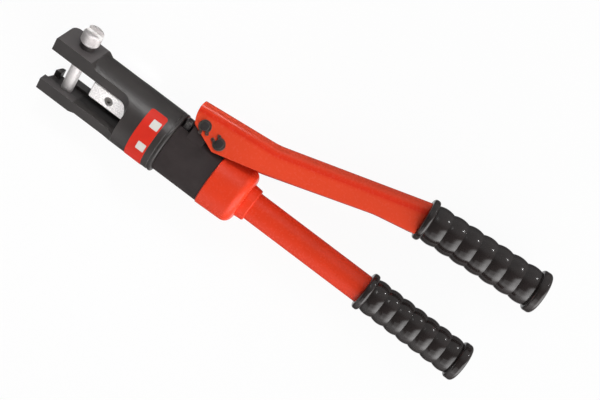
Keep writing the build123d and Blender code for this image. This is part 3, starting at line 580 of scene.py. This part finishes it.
slot_floor = latch_seat + knob_height - coin_slot_depth  # from the tool's axis
slot_facing = (0.9, 0.97)  # agreement with across_arms, where the floor starts and is full
slot_heights = (slot_floor + 0.001, slot_floor + 0.0004)  # likewise, from above
slot_bare = 0.1


def paint_slot_highlight(material, colour):
    """Lays the machined floor of the latch knob's slot over the knob, near white and dull as a
    painted highlight.
    """
    tree = material.node_tree
    spot = tree.nodes["place"].outputs
    flat = fade(tree, reach_along(tree, spot["Normal"], across_arms), *slot_facing)
    low = fade(tree, reach_along(tree, spot["Object"], across_arms), *slot_heights)
    mask = reckon(tree, "MULTIPLY", flat, low)
    over_base(material, mask, colour)
    metallic = tree.nodes["Principled BSDF"].inputs["Metallic"]
    feed(tree, metallic, fade(tree, mask, 0, 1, metallic.default_value, slot_bare))


fold_bend = (-0.1715, -0.0588, 0)  # corner of the lever's crown, seen from the side
fold_front = (-0.1029, 0.9947, 0)  # square to the crown, in front of that corner
fold_rear = (-0.2797, 0.9601, 0)  # square to the crown, behind it
fold_span = 0.020
# painted shade along the fold: share of fold_span out from the corner, and how much of the shade
# colour
fold_shade_depths = ((0.0, 0.0), (0.2, 0.1), (0.45, 0.8), (0.5, 1.0), (0.58, 0.35), (0.68, 0.0))


def paint_fold_shade(material, colour):
    """Paints shade into the enamel as a darker band along the foot of the lever's folded edge,
    where the rounded bend meets the flat side.
    """
    tree = material.node_tree
    from_bend = tree.nodes.new("ShaderNodeVectorMath")
    from_bend.operation = "SUBTRACT"
    feed(tree, from_bend.inputs[0], tree.nodes["place"].outputs["Object"])
    feed(tree, from_bend.inputs[1], fold_bend)
    squares = (fold_front, fold_rear)
    inside = [reach_along(tree, from_bend.outputs["Vector"], square) for square in squares]
    share = reckon(tree, "DIVIDE", reckon(tree, "MAXIMUM", *inside), fold_span)
    shade_ramp = tree.nodes.new("ShaderNodeValToRGB")
    shade_ramp.color_ramp.interpolation = "EASE"
    stops = shade_ramp.color_ramp.elements
    stops.remove(stops[1])
    for place, depth in fold_shade_depths:
        stop = stops[0] if place == 0 else stops.new(place)
        stop.color = (depth, depth, depth, 1)
    feed(tree, shade_ramp.inputs["Fac"], share)
    over_base(material, shade_ramp.outputs["Color"], colour)


def enamel(name, colour):
    """The tool's red enamel, in the tone given for a piece."""
    return make_finish(
        name, colour, under=srgb(236, 104, 74), roughness=0.26, rough_swing=0.04, specular=0.22,
        drift=dict(scale=22, amount=0.04),
        grain=dict(fine_scale=1400, wave_scale=420, wave_share=0.75),
        bump=dict(strength=0.04, distance=0.0004),
        rub=dict(radius=0.0006, patch_scale=300, amount=0.35),
    )


film_grain = dict(fine_scale=3000, wave_scale=350, wave_share=0.8)
oxide_grain = dict(fine_scale=5200, wave_scale=1500, wave_share=0.4)
plate_grain = dict(fine_scale=4200, wave_scale=800, wave_share=0.4)
film_rub = dict(radius=0.0002, patch_scale=500, amount=0.3)
pin_rub = dict(radius=0.0004, patch_scale=500, amount=0.4)
clip_rub = dict(radius=0.0002, patch_scale=700, amount=0.6)

red_enamel = enamel("red_enamel", srgb(221, 62, 35))
# the same red enamel, made lighter on the lever as painted sheen where its flat sides face the
# light
lever_enamel_painted_light = enamel("lever_red_enamel_painted_light", srgb(222, 71, 43))
# painted shade: a darker red line along the lever's fold
paint_fold_shade(lever_enamel_painted_light, srgb(214, 46, 26))
head_satin = make_finish(
    "head_satin_black", srgb(50, 46, 45), under=srgb(128, 124, 122),
    roughness=0.42, rough_swing=0.06, specular=0.55,
    drift=dict(scale=55, amount=0.12),
    grain=dict(fine_scale=2600, wave_scale=500, wave_share=0.35),
    bump=dict(strength=0.18, distance=0.0003),
    rub=dict(radius=0.0007, patch_scale=260, amount=0.6),
)
# painted reflection: the arms' flat pads lighter, as where they would mirror the pale floor
paint_pad_reflection(head_satin, srgb(80, 76, 76))
barrel_matte = make_finish(
    "barrel_matte_black", srgb(56, 50, 50), under=srgb(104, 100, 98),
    roughness=0.8, rough_swing=0.06, specular=0.1,
    drift=dict(scale=70, amount=0.14),
    grain=dict(fine_scale=3200, wave_scale=700, wave_share=0.3),
    bump=dict(strength=0.25, distance=0.0003),
    rub=dict(radius=0.0005, patch_scale=320, amount=0.5),
)
pin_oxide = make_finish(
    "pin_black_oxide", srgb(40, 36, 36), under=srgb(120, 116, 114),
    roughness=0.42, rough_swing=0.08,
    drift=dict(scale=160, amount=0.25),
    grain=oxide_grain,
    bump=dict(strength=0.2, distance=0.0002),
    rub=dict(radius=0.0003, patch_scale=700, amount=0.8),
)
grip_vinyl = make_finish(
    "grip_black_vinyl", srgb(41, 35, 34), under=srgb(62, 58, 58),
    roughness=0.16, rough_swing=0.03, specular=0.65,
    drift=dict(scale=30, amount=0.12),
    grain=dict(fine_scale=1900, wave_scale=260, wave_share=0.7),
    bump=dict(strength=0.1, distance=0.0004),
    rub=dict(radius=0.0004, patch_scale=260, amount=0.3),
)
label_red = make_finish(
    "label_red_film", srgb(208, 48, 35), under=srgb(228, 92, 76),
    roughness=0.45, rough_swing=0.05, specular=0.12,
    drift=dict(scale=60, amount=0.06),
    grain=film_grain,
    bump=dict(strength=0.08, distance=0.0003),
    rub=film_rub,
)
label_white = make_finish(
    "label_white_film", srgb(214, 211, 205), under=srgb(205, 200, 196),
    roughness=0.35, rough_swing=0.05, specular=0.3,
    drift=dict(scale=90, amount=0.05),
    grain=film_grain,
    bump=dict(strength=0.06, distance=0.0003),
    rub=film_rub,
)
seal_rubber = make_finish(
    "seal_black_rubber", srgb(30, 29, 29), under=srgb(50, 49, 49),
    roughness=0.6, rough_swing=0.08, specular=0.3,
    drift=dict(scale=200, amount=0.15),
    grain=dict(fine_scale=4200, wave_scale=900, wave_share=0.4),
    bump=dict(strength=0.2, distance=0.0002),
    rub=dict(radius=0.0002, patch_scale=700, amount=0.3),
)
ram_blasted = make_finish(
    "ram_blasted_steel", srgb(240, 236, 235), under=srgb(252, 250, 248),
    roughness=0.48, rough_swing=0.08, bare=0.1,
    drift=dict(scale=900, amount=0.3),
    grain=dict(fine_scale=3400, wave_scale=900, wave_share=0.4),
    bump=dict(strength=0.5, distance=0.0003),
    rub=dict(radius=0.0004, patch_scale=500, amount=0.5),
)
pin_polished = make_finish(
    "pin_bright_steel", srgb(232, 227, 226), under=srgb(244, 242, 240),
    roughness=0.34, rough_swing=0.05, bare=1,
    drift=dict(scale=150, amount=0.05),
    grain=dict(fine_scale=2600, wave_scale=300, wave_share=0.5),
    bump=dict(strength=0.05, distance=0.0002),
    rub=pin_rub,
)
latch_satin = make_finish(
    "latch_satin_steel", srgb(238, 233, 232), under=srgb(246, 244, 242),
    roughness=0.56, rough_swing=0.06, bare=0.35,
    drift=dict(scale=400, amount=0.08),
    grain=dict(fine_scale=3000, wave_scale=500, wave_share=0.4),
    bump=dict(strength=0.2, distance=0.0002),
    rub=pin_rub,
)
clip_phosphate = make_finish(
    "clip_phosphate_steel", srgb(124, 116, 110), under=srgb(190, 184, 178),
    roughness=0.36, rough_swing=0.08, bare=1,
    drift=dict(scale=500, amount=0.2),
    grain=oxide_grain,
    bump=dict(strength=0.2, distance=0.0002),
    rub=clip_rub,
)
screw_steel = make_finish(
    "screw_grey_steel", srgb(150, 146, 143), under=srgb(214, 210, 206),
    roughness=0.4, rough_swing=0.08, bare=1,
    drift=dict(scale=300, amount=0.15),
    grain=oxide_grain,
    bump=dict(strength=0.15, distance=0.0002),
    rub=clip_rub,
)
release_oxide = make_finish(
    "release_black_oxide", srgb(44, 40, 40), under=srgb(196, 190, 184),
    roughness=0.38, rough_swing=0.08,
    drift=dict(scale=300, amount=0.2),
    grain=oxide_grain,
    bump=dict(strength=0.2, distance=0.0002),
    rub=dict(radius=0.0004, patch_scale=300, amount=0.7),
)
# grime and painted shade in the release knob's knurl hollows
grime_and_shade_hollows(release_oxide, srgb(20, 18, 18), amount=0.8)
knob_nickel = make_finish(
    "knob_nickel_plate", srgb(226, 221, 220), under=srgb(238, 236, 234),
    roughness=0.36, rough_swing=0.07, bare=0.8,
    drift=dict(scale=260, amount=0.1),
    grain=plate_grain,
    bump=dict(strength=0.15, distance=0.0002),
    rub=dict(radius=0.0002, patch_scale=900, amount=0.5),
)
# grime and painted shade in the latch knob's knurl hollows
grime_and_shade_hollows(knob_nickel, srgb(84, 78, 74), amount=0.9)
# painted highlight: the slot's floor near white
paint_slot_highlight(knob_nickel, srgb(252, 250, 248))
spring_steel = make_finish(
    "spring_oiled_steel", srgb(120, 116, 112), under=srgb(160, 156, 152),
    roughness=0.35, rough_swing=0.08, bare=1,
    drift=dict(scale=300, amount=0.15),
    grain=plate_grain,
    bump=dict(strength=0.1, distance=0.0002),
    rub=dict(radius=0.0002, patch_scale=700, amount=0.3),
)
bush_bronze = make_finish(
    "bush_bronze", srgb(186, 142, 84), under=srgb(214, 176, 120),
    roughness=0.38, rough_swing=0.08, bare=1,
    drift=dict(scale=200, amount=0.12),
    grain=dict(fine_scale=3600, wave_scale=600, wave_share=0.4),
    bump=dict(strength=0.12, distance=0.0002),
    rub=dict(radius=0.0003, patch_scale=600, amount=0.4),
)

slot_finish = {
    "red_paint": red_enamel,
    "black_finish": pin_oxide,
    "bright_steel": pin_polished,
    "grip_vinyl": grip_vinyl,
    "spring_steel": spring_steel,
    "seal_rubber": seal_rubber,
    "bronze": bush_bronze,
    "label_film": label_red,
}
node_finish = {
    "head_yoke": head_satin,
    "cylinder_body": barrel_matte,
    "ram": ram_blasted,
    "lever_channel": lever_enamel_painted_light,
    "die_screw": screw_steel,
    "latch_pin": latch_satin,
    "fulcrum_clips": clip_phosphate,
    "plunger_clips": clip_phosphate,
}


def wear(piece, material):
    """Gives a piece one finish all over."""
    piece.data.materials.clear()
    piece.data.materials.append(material)


slot_of = {part["node"]: part["material_slot"] for part in frame["record"]["subparts"]}
for node, piece in frame["nodes"].items():
    wear(piece, node_finish.get(node) or slot_finish[slot_of[node]])

latch_knob = make_latch_knob()
wear(latch_knob, knob_nickel)
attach(latch_knob, "latch")
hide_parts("latch_knob")

release_knob = make_release_knob()
wear(release_knob, release_oxide)
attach(release_knob, "release")
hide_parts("release_knob")

return_spring = make_return_spring()
wear(return_spring, spring_steel)
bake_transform(return_spring)
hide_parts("return_spring")

for number, angle in enumerate(patch_angles, start=1):
    patch = make_label_patch(f"label_patch_{number}", angle)
    wear(patch, label_white)
    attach(patch, "head")


# Floor, studio and lamps
floor_width = 8
floor_grey = (0.86, 0.86, 0.86, 1)
floor_lift = 0.94  # share of plain white in the floor that is seen, the rest keeps the shadow
white = (1, 1, 1, 1)
white_in_shine = 0.05  # share of the white background in reflections

from_lever = (0, 1, 0)  # to the side away from the lever
upwards = (0, 0, 1)
past_grips = (-0.6, 0.8, 0)
even_light = 0.06
# Each wall's strength, then the directions along which it comes in, from nothing to full
studio_walls = {
    "side": (0.7, (from_lever, -0.2, 0.7), (upwards, 0.6, 0.25), (upwards, -0.8, 0.1)),
    "lever": (0.35, (from_lever, -0.1, -0.7), (upwards, -0.8, 0)),
    "grips": (3.0, (past_grips, 0.2, 0.45), (to_fork, -0.2, -0.7), (upwards, -0.3, 0.1)),
    "floor": (0.7, (upwards, 0.05, -0.2), (from_lever, 0.5, 0.2), (from_lever, -0.5, -0.2)),
}


def shader_mix(tree, share, first, second):
    """Two shaders in one."""
    mix = tree.nodes.new("ShaderNodeMixShader")
    feed(tree, mix.inputs["Fac"], share)
    feed(tree, mix.inputs[1], first)
    feed(tree, mix.inputs[2], second)
    return mix.outputs["Shader"]


def ray_kinds(tree):
    """Masks of the rays that see plainly or through glass, and of those that see in shine."""
    ray = tree.nodes.new("ShaderNodeLightPath").outputs
    seen = reckon(tree, "MAXIMUM", ray["Is Camera Ray"], ray["Is Transmission Ray"])
    return seen, ray["Is Glossy Ray"]


def make_floor():
    """A wide pale floor that keeps the shadow, white in the view; shine shows the studio."""
    bpy.ops.object.select_all(action="DESELECT")
    bpy.ops.mesh.primitive_plane_add(size=floor_width, location=(0, 0, cad_low[2]))
    floor = bpy.context.object
    floor.name = "floor"
    material = bpy.data.materials.new("floor_white")
    material.use_nodes = True
    tree = material.node_tree
    tree.nodes.clear()
    matte = tree.nodes.new("ShaderNodeBsdfDiffuse")
    matte.inputs["Color"].default_value = floor_grey
    glow = tree.nodes.new("ShaderNodeEmission")
    clear = tree.nodes.new("ShaderNodeBsdfTransparent")
    seen, in_shine = ray_kinds(tree)
    lift = reckon(tree, "MULTIPLY", seen, floor_lift)
    lifted = shader_mix(tree, lift, matte.outputs["BSDF"], glow.outputs["Emission"])
    surface = shader_mix(tree, in_shine, lifted, clear.outputs["BSDF"])
    feed(tree, tree.nodes.new("ShaderNodeOutputMaterial").inputs["Surface"], surface)
    wear(floor, material)


def make_studio():
    """A dim, even studio with brighter walls that fade in by direction, white to the camera."""
    world = bpy.data.worlds.new("studio")
    bpy.context.scene.world = world
    world.use_nodes = True
    tree = world.node_tree
    outward = tree.nodes.new("ShaderNodeTexCoord").outputs["Generated"]
    light = even_light
    for strength, *fades in studio_walls.values():
        wall = strength
        for direction, start, full in fades:
            part = fade(tree, reach_along(tree, outward, direction), start, full, soft=True)
            wall = reckon(tree, "MULTIPLY", part, wall)
        light = reckon(tree, "ADD", wall, light)
    studio = tree.nodes["Background"]
    studio.inputs["Color"].default_value = white
    feed(tree, studio.inputs["Strength"], light)
    backdrop = tree.nodes.new("ShaderNodeBackground")
    backdrop.inputs["Color"].default_value = white
    seen, in_shine = ray_kinds(tree)
    share = reckon(tree, "MULTIPLY_ADD", in_shine, white_in_shine, seen)
    sky = shader_mix(tree, share, studio.outputs["Background"], backdrop.outputs["Background"])
    feed(tree, tree.nodes["World Output"].inputs["Surface"], sky)


def hang_lamp(name, place, aim, size, power, spread=180, in_shine=True):
    """A soft box turned to what it lights, with a grid for its spread, in or out of shine."""
    lamp = bpy.data.lights.new(name, "AREA")
    lamp.shape = "RECTANGLE"
    lamp.size, lamp.size_y = size
    lamp.energy = power
    lamp.spread = math.radians(spread)
    holder = bpy.data.objects.new(name, lamp)
    bpy.context.scene.collection.objects.link(holder)
    holder.visible_glossy = in_shine
    holder.location = place
    holder.rotation_euler = (Vector(aim) - Vector(place)).to_track_quat("-Z", "Y").to_euler()


make_floor()
make_studio()
hang_lamp(
    "head_softbox", place=(0.12, -0.6, 0.69), aim=(-0.03, 0, 0.02),
    size=(0.25, 0.25), power=0.11, spread=30,
)
hang_lamp(
    "strip_lamp", place=(-1.6, 0.15, 0.22), aim=(-0.4, 0, 0.03),
    size=(1.8, 0.16), power=7, in_shine=False,
)
hang_lamp(
    "small_lamp", place=(-0.96, -1.3, 0.55), aim=(-0.4, -0.05, 0),
    size=(0.05, 0.05), power=1.2,
)
hang_lamp(
    "grip_panel", place=(-0.65, 0.55, 0.4), aim=(-0.4, -0.1, 0),
    size=(0.8, 0.6), power=1.0,
)
hang_lamp(
    "ram_lamp", place=(-0.024, 0.49, 0.63), aim=(-0.024, 0, 0),
    size=(0.04, 0.04), power=0.0045, spread=4, in_shine=False,
)
hang_lamp(
    "top_light", place=(-0.2, -0.75, 1.05), aim=(-0.2, 0, 0),
    size=(1.2, 0.8), power=3.4, in_shine=False,
)

# Camera, nearly straight down, with the tool aslant in the picture
picture_slope = math.radians(37.07)
camera_place = Vector((-0.2189, -0.0191, 0.9970))
camera_aim = Vector((-0.2144, -0.0306, 0.0))
camera_sensor = 36  # millimetres
camera_lens = 65
back = (camera_place - camera_aim).normalized()
up = Vector((math.sin(picture_slope), -math.cos(picture_slope), 0))
right = up.cross(back).normalized()
up = back.cross(right)
camera_turn = Matrix((right, up, back)).transposed().to_4x4()
camera = bpy.data.objects.new("camera", bpy.data.cameras.new("camera"))
bpy.context.scene.collection.objects.link(camera)
camera.matrix_world = Matrix.Translation(camera_place) @ camera_turn
camera.data.sensor_width = camera_sensor
camera.data.lens = camera_lens
bpy.context.scene.camera = camera
bpy.context.scene.view_settings.view_transform = "Standard"
